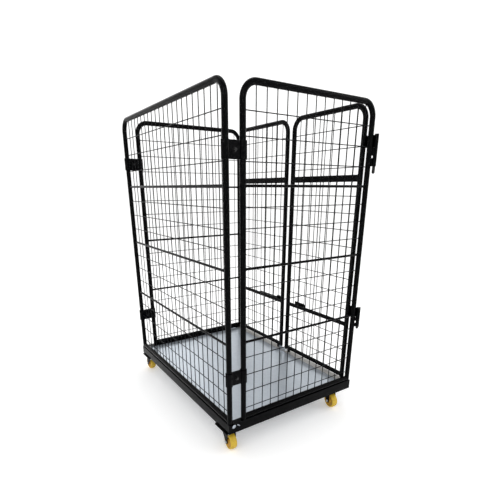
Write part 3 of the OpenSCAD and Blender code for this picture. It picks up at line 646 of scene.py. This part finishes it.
def add_wheels(settings):
    """Wheels: the tyre is a crowned tread profile, 0.0416 - 0.0024 |t|^2.6 of radius for t from -1 to 1,
    turned about the axle, with a raised moulding line and a groove near each shoulder. The centre is a
    dished web with a hub boss and a rim lip."""
    for name in CASTORS:
        at, ahead, left = castor_frame(name)
        axle = at - ahead * TRAIL + np.array([0, 0, AXLE_Z])
        tyre = Shell()
        crown = []
        for t in np.linspace(-1, 1, 25):
            line = 0.0003 * math.exp(-((t / 0.03) ** 2))
            groove = -0.0005 * math.exp(-(((abs(t) - 0.62) / 0.05) ** 2))
            crown.append((0.0416 - 0.0024 * abs(t) ** 2.6 + line + groove, 0.0150 * t))
        profile = (
            [(0.0320, -0.0148), (0.0332, -0.0158), (0.0360, -0.0169), (0.0381, -0.0164)]
            + crown
            + [(0.0381, 0.0164), (0.0360, 0.0169), (0.0332, 0.0158), (0.0320, 0.0148), (0.0320, -0.0148)]
        )
        u_ring(tyre, axle, left, profile, 72)
        tyre.build(f"tyre {name}", "tyre", f"wheel_{name}", "yellow_tread", replaces=(f"wheel_{name}",))
        shaded_core = Shell()
        side = [(0.0062, 0.0198), (0.0118, 0.0198), (0.0134, 0.0188), (0.0142, 0.0140), (0.0160, 0.0120),
                (0.0255, 0.0114), (0.0278, 0.0124), (0.0296, 0.0152), (0.0322, 0.0154)]
        profile = [(r, -h) for r, h in side] + [(r, h) for r, h in reversed(side)]
        profile.append(profile[0])
        u_ring(shaded_core, axle, left, profile, 72)
        # the centre takes the darker amber finish: painted shade of the wheel's side, darker than the tyre's own
        # yellow
        shaded_core.build(f"wheel centre {name}", "shaded_core", f"wheel_{name}", "yellow_tread")


def u_ring(shell, centre, axis, profile, steps):
    """Turns a closed (radius, height) loop about an axis, as a ring with a hole."""
    u, v, w = basis(axis)
    profile = np.asarray(profile[:-1], float)
    ang = np.linspace(0, 2 * np.pi, steps, endpoint=False)
    pts = (
        np.asarray(centre)
        + profile[None, :, :1] * (np.cos(ang)[:, None, None] * u + np.sin(ang)[:, None, None] * v)
        + profile[None, :, 1:] * w
    )
    shell.grid(pts[:, ::-1], wrap_v=True)


def add_forks(settings):
    """Pressed forks: two raked legs and a crown, each a plate with rolled rims, joined by a folded bend
    that is a quarter-round section carried along the crown's edge."""
    leg = smooth_outline(
        [(0.018, 0.098), (-0.034, 0.098), (-0.0378, 0.044), (-0.0365, 0.0320), (-0.026, 0.0302),
         (-0.0155, 0.0320), (-0.0142, 0.042), (0.018, 0.080)], 0.008, 5
    )
    for name in CASTORS:
        at, ahead, left = castor_frame(name)
        up = np.array([0, 0, 1.0])
        shell = Shell()
        for side in (-1, 1):
            slab(shell, leg, at + left * side * 0.0230, ahead, up, -left, 0.003, 0.0011)
            t = np.linspace(-0.034, 0.016, 12)
            path = at + ahead * t[:, None] + left * side * 0.0225 + up * 0.0958
            sweep(shell, path, rounded_box(0.0017, 0.0017, 0.0016, 4), up)
        crown = smooth_outline([(0.024, -0.010), (0.024, 0.010), (0.012, 0.0242), (-0.035, 0.0242),
                                (-0.035, -0.0242), (0.012, -0.0242)], 0.010, 6)
        slab(shell, crown, at + up * 0.096, ahead, left, up, 0.004, 0.0012)
        ring = [(0.006, 0.0), (0.0232, 0.0), (0.0248, 0.0008), (0.0250, 0.0022), (0.0236, 0.0034),
                (0.0215, 0.0042), (0.006, 0.0042), (0.006, 0.0)]
        u_ring(shell, at + up * 0.0941, up, ring, 64)
        shell.build(f"fork {name}", "castor", f"castor_{name}", "castor_black", replaces=(f"fork_{name}",))


def fastener(shell, at, axis, stack):
    """Bolt, nut or washer stack along an axis. Each entry is ("hex" | "disc" | "thread", radius, length):
    hexagons carry a 30-degree chamfer cone, discs a rolled rim, threads a saw-tooth of annular grooves."""
    at, axis = np.asarray(at, float), np.asarray(axis, float)
    pos = 0.0
    for kind, r, length in stack:
        base = at + axis * pos
        if kind == "hex":
            flat = r * math.cos(math.pi / 6)
            c = (r - flat) * 0.58
            lathe(shell, base, axis, [(flat * 0.9, 0), (r, 0.0001), (r, length - c), (flat * 0.96, length),
                                      (flat * 0.5, length)], 48, (flat, -1, 1))
        elif kind == "disc":
            e = min(0.0004, length / 3)
            lathe(shell, base, axis, [(r - e, 0), (r, e), (r, length - e), (r - e, length)], 40)
        else:
            turns = max(2, int(length / 0.00125))
            rows = []
            for k in range(turns):
                rows += [(r, (k + 0.2) * length / turns), (r - 0.0005, (k + 0.75) * length / turns)]
            lathe(shell, base, axis, [(r - 0.0006, 0)] + rows + [(r - 0.0008, length)], 28)
        pos += length


def add_fasteners(settings):
    """Clamp, latch and castor fasteners with chamfered heads, rolled washers and threads."""
    bolts, nuts = Shell(), Shell()
    for sign in (-1, 1):
        for z in CLAMP_Z:
            out = np.array([0, float(sign), 0])
            at = np.array([-POST_X + CORNER_GAP / 2, sign * POST_Y, z])
            fastener(bolts, at + out * 0.0056, out, [("disc", 0.0085, 0.0016), ("hex", 0.0070, 0.0050)])
            fastener(bolts, at + out * 0.0056, -out, [("thread", 0.0040, 0.0220)])
            fastener(nuts, at - out * 0.0056, -out, [("disc", 0.0085, 0.0016), ("hex", 0.0074, 0.0064)])
    bolts.build("clamp bolts", "dark", "base", "black_fastener", replaces=("clamp_bolts",))
    nuts.build("clamp nuts", "dark", "base", "black_fastener", replaces=("clamp_nuts",))
    pivot = Shell()
    x = LEAF_X + TUBE_R + 0.0002
    fastener(pivot, (x, 0.085, LEAF_LOWER_Z), (1, 0, 0),
             [("disc", 0.005, 0.0099), ("disc", 0.0099, 0.0015), ("hex", 0.0079, 0.0049)])
    pivot.build("latch pivot bolt", "dark", "rear_leaf", "black_fastener", replaces=("latch_pivot_bolt",))
    for name in CASTORS:
        at, ahead, left = castor_frame(name)
        axle = at - ahead * TRAIL + np.array([0, 0, AXLE_Z])
        shell = Shell()
        fastener(shell, axle - left * 0.0245, left, [("disc", 0.004, 0.049)])
        fastener(shell, axle - left * 0.0245, -left, [("hex", 0.0070, 0.0049)])
        fastener(shell, axle + left * 0.0245, left, [("hex", 0.0073, 0.0064), ("thread", 0.0039, 0.0015)])
        shell.build(f"axle {name}", "zinc", f"castor_{name}", "zinc_plate", replaces=(f"axle_{name}",))


def add_clamps(settings):
    """Corner clamps: half a collar, a web and half a collar form one centre line, and a rounded 4 by 66 mm
    bar section is carried along it. Two halves close on each pair of posts."""
    shell = Shell()
    r = TUBE_R + 0.0001 + 0.002
    web = 0.0015 + 0.002
    lead = math.asin(web / r)
    for sign in (-1, 1):
        for z in CLAMP_Z:
            for side in (-1, 1):
                arc = np.linspace(math.pi - 0.12, lead + 0.05, 18)
                first = [(r * math.cos(t), r * math.sin(t)) for t in arc]
                last = [(CORNER_GAP - x, y) for x, y in reversed(first)]
                run = [(x, web) for x in np.linspace(r * math.cos(lead) + 0.002, CORNER_GAP
                                                     - r * math.cos(lead) - 0.002, 8)]
                line = np.array(first + run + last)
                path = np.stack(
                    [-POST_X + line[:, 0], sign * POST_Y + side * line[:, 1], np.full(len(line), z)], axis=1
                )
                sweep(shell, path, rounded_box(0.0019, 0.0329, 0.0012, 4), (0, 0, 1))
    shell.build("corner clamp halves", "coat", "base", "black_powder_coat", replaces=("corner_clamps",))


def add_latch(settings):
    """Latch bar: a flat bar with round ends and a rolled rim, lying folded on its leaf."""
    shell = Shell()
    r, length = 0.0125, 0.225
    t = np.radians(np.linspace(90, 270, 16))
    left = [(r * math.cos(a), r * math.sin(a)) for a in t]
    right = [(length - r + r * math.cos(a), r * math.sin(a)) for a in t - math.pi]
    outline = np.array(left + [(x, -r) for x in np.linspace(0.02, length - 0.03, 12)] + right
                       + [(x, r) for x in np.linspace(length - 0.03, 0.02, 12)])
    x = LEAF_X + TUBE_R + 0.0001 + 0.0035 + 0.003
    slab(shell, outline, (x, 0.085, LEAF_LOWER_Z), (0, 1, 0), (0, 0, 1), (1, 0, 0), 0.0060, 0.0014)
    shell.build("latch bar", "coat", "latch_bar", "black_powder_coat", replaces=("latch_bar",))


def add_side_rail(settings):
    """Rolled rail of the closed side: an L section whose outer corner is a 5 mm arc, carried along the base."""
    shell = Shell()
    t = np.radians(np.linspace(180, 90, 7))
    x0, x1, low, top, wall = -0.405, -0.375, 0.110, 0.160, 0.004
    outer = [(x0 + 0.0006, low), (x0, low + 0.0006)] + [(x0 + 0.005 + 0.005 * math.cos(a), top - 0.005
             + 0.005 * math.sin(a)) for a in t] + [(x1 - 0.0006, top), (x1, top - 0.0006)]
    inner = [(x0 + wall - 0.0006, low), (x0 + wall, low + 0.0006)] + [(x0 + 0.005 + 0.001 * math.cos(a),
             top - 0.005 + 0.001 * math.sin(a)) for a in t] + [(x1 - 0.0006, top - wall), (x1, top - wall + 0.0006)]
    loop = np.array(outer + inner[::-1])
    y = np.concatenate([[-0.575], np.linspace(-0.5744, 0.5744, 40), [0.575]])
    pts = np.stack(
        [np.broadcast_to(loop[:, 0], (len(y), len(loop))), np.broadcast_to(y[:, None], (len(y), len(loop))),
         np.broadcast_to(loop[:, 1], (len(y), len(loop)))], axis=-1
    )
    shell.grid(pts[:, ::-1], ribbon=True)
    shell.build("rolled side rail", "coat", "base", "black_powder_coat", replaces=("side_rail_closed",))


def add_castor_plates(settings):
    """Castor top plates: rounded plates with rolled rims over a turned raceway ring with a ball groove."""
    shell = Shell()
    outline = smooth_outline([(-0.044, -0.057), (0.044, -0.057), (0.044, 0.057), (-0.044, 0.057)], 0.007, 6)
    for x, y, _heading in CASTORS.values():
        slab(shell, outline, (x, y, 0.107), (1, 0, 0), (0, 1, 0), (0, 0, 1), 0.0059, 0.0012)
        ring = [(0.0056, 0.0), (0.0205, 0.0), (0.0219, 0.0008), (0.0212, 0.0020), (0.0206, 0.0030),
                (0.0214, 0.0040), (0.0219, 0.0052), (0.0219, 0.0060), (0.0056, 0.0060), (0.0056, 0.0)]
        u_ring(shell, (x, y, 0.0986), (0, 0, 1), ring, 64)
    shell.build("castor top plates", "castor", "base", "castor_black", replaces=("castor_plates",))


# ---------------------------------------------------------------- stage


def add_stage(settings):
    """Pale floor that curves up into a wall, soft lights and the camera."""
    t = np.linspace(0.1, np.pi / 2, 12)
    radius = np.concatenate([np.linspace(0.01, 9.0, 16), 9.0 + 3.0 * np.sin(t), np.full(4, 12.0)])
    height = np.concatenate([np.zeros(16), 3.0 * (1 - np.cos(t)), np.linspace(4.0, 12.0, 4)])
    turn = np.linspace(0, 2 * np.pi, 64, endpoint=False)
    pts = np.stack([radius[:, None] * np.cos(turn), radius[:, None] * np.sin(turn),
                    np.broadcast_to(height[:, None], (32, 64))], axis=-1)
    mesh = bpy.data.meshes.new("studio sweep")
    i, j = (k.ravel() for k in np.meshgrid(np.arange(31), np.arange(64), indexing="ij"))
    j2 = (j + 1) % 64
    mesh.from_pydata(pts.reshape(-1, 3).tolist(), [],
                     np.stack([i * 64 + j, i * 64 + 64 + j, i * 64 + 64 + j2, i * 64 + j2], axis=1).tolist())
    mesh.shade_smooth()
    mesh.materials.append(studio("studio paper", "#ffffff"))
    floor = bpy.data.objects.new("studio sweep", mesh)
    scene = bpy.context.scene
    scene.collection.objects.link(floor)
    for name, at, size, power in (
        ("key light", (-3.2, -3.6, 4.2), 3.2, settings.key_power),
        ("fill light", (3.8, -2.6, 3.0), 3.0, settings.key_power * 0.45),
        ("top light", (0.3, 0.4, 4.6), 3.4, settings.key_power * 0.6),
        ("back light", (0.5, 4.2, 3.2), 3.0, settings.key_power * 0.5),
    ):
        data = bpy.data.lights.new(name, "AREA")
        data.shape, data.size, data.energy = "SQUARE", size, power
        light = bpy.data.objects.new(name, data)
        light.location = at
        aim = Vector((0, 0, 0.7)) - Vector(at)
        light.rotation_euler = aim.to_track_quat("-Z", "Y").to_euler()
        scene.collection.objects.link(light)
    world = bpy.data.worlds.new("soft white room")
    world.use_nodes = True
    background = world.node_tree.nodes["Background"]
    background.inputs["Color"].default_value = (1.0, 1.0, 1.0, 1.0)
    background.inputs["Strength"].default_value = settings.room_light
    scene.world = world
    data = bpy.data.cameras.new("camera")
    data.lens, data.sensor_width = 27.39, 36.0
    data.shift_x, data.shift_y = 0.0078, 0.152
    data.clip_start, data.clip_end = 0.05, 60.0
    camera = bpy.data.objects.new("camera", data)
    camera.location = (-1.172, -1.860, 1.189)
    camera.rotation_mode = "QUATERNION"
    camera.rotation_quaternion = Vector((0.524, 0.781, -0.339)).to_track_quat("-Z", "Y")
    scene.collection.objects.link(camera)
    scene.camera = camera
    scene.view_settings.view_transform = "Standard"


def add_finishes(settings):
    """Gives every CAD node the finish of its material slot, and the sill strip its worn steel."""
    FINISH.update(make_finishes())
    slots = {s["node"]: s["material_slot"] for s in frame["record"]["subparts"]}
    for name, obj in frame["nodes"].items():
        finish = "sill" if name == "sill_plate" else SLOT_FINISH[slots[name]]
        obj.data.materials.clear()
        obj.data.materials.append(FINISH[finish])


# ---------------------------------------------------------------- add-on


class CageSettings(bpy.types.PropertyGroup):
    """Sizes and light of the roll cage's looks."""

    nugget_mm: bpy.props.FloatProperty(
        name="Weld nugget", description="Radius of a wire weld, in millimetres", default=2.7, min=2.0, max=4.0
    )
    bead_mm: bpy.props.FloatProperty(
        name="Fillet weld", description="Radius of a fillet weld, in millimetres", default=1.7, min=1.0, max=3.0
    )
    key_power: bpy.props.FloatProperty(
        name="Key light", description="Power of the key light", default=50.0, unit="POWER"
    )
    room_light: bpy.props.FloatProperty(
        name="Room light", description="Strength of the white room", default=0.6, subtype="FACTOR"
    )


def operator(idname, label, doc, work):
    """Operator class that runs one build step on the scene's settings."""

    def execute(self, context):
        work(context.scene.cage_settings)
        return {"FINISHED"}

    return type(
        "CAGE_OT_" + idname,
        (bpy.types.Operator,),
        {"bl_idname": "cage." + idname, "bl_label": label, "__doc__": doc, "execute": execute},
    )


STEPS = [
    operator("finishes", "Finishes", "Give every CAD part its finish", add_finishes),
    operator("nuggets", "Weld nuggets", "Add the wire mesh's resistance welds", add_nuggets),
    operator("beads", "Fillet welds", "Add fillet welds on rods, rails and hinges", add_beads),
    operator("wheels", "Wheels", "Add the tyres and wheel centres", add_wheels),
    operator("forks", "Forks", "Add the pressed castor forks", add_forks),
    operator("side_rail", "Side rail", "Add the rolled rail of the closed side", add_side_rail),
    operator("castor_plates", "Castor plates", "Add the castor top plates", add_castor_plates),
    operator("fasteners", "Fasteners", "Add bolts, nuts and washers", add_fasteners),
    operator("clamps", "Corner clamps", "Add the corner clamps", add_clamps),
    operator("latch", "Latch bar", "Add the flip-over latch bar", add_latch),
    operator("stage", "Stage", "Add the floor, lights and camera", add_stage),
]


class CAGE_PT_panel(bpy.types.Panel):
    """Roll cage build steps and settings."""

    bl_idname = "CAGE_PT_panel"
    bl_label = "Roll Cage"
    bl_space_type = "VIEW_3D"
    bl_region_type = "UI"
    bl_category = "Roll Cage"

    def draw(self, context):
        for name in CageSettings.__annotations__:
            self.layout.prop(context.scene.cage_settings, name)
        for step in STEPS:
            self.layout.operator(step.bl_idname)


def register():
    for cls in [CageSettings, *STEPS, CAGE_PT_panel]:
        bpy.utils.register_class(cls)
    bpy.types.Scene.cage_settings = bpy.props.PointerProperty(type=CageSettings)


def unregister():
    del bpy.types.Scene.cage_settings
    for cls in reversed([CageSettings, *STEPS, CAGE_PT_panel]):
        bpy.utils.unregister_class(cls)


def main():
    register()
    for step in STEPS:
        getattr(bpy.ops.cage, step.bl_idname.split(".")[1])()
    bpy.context.view_layer.update()


if __name__ == "__main__":
    main()
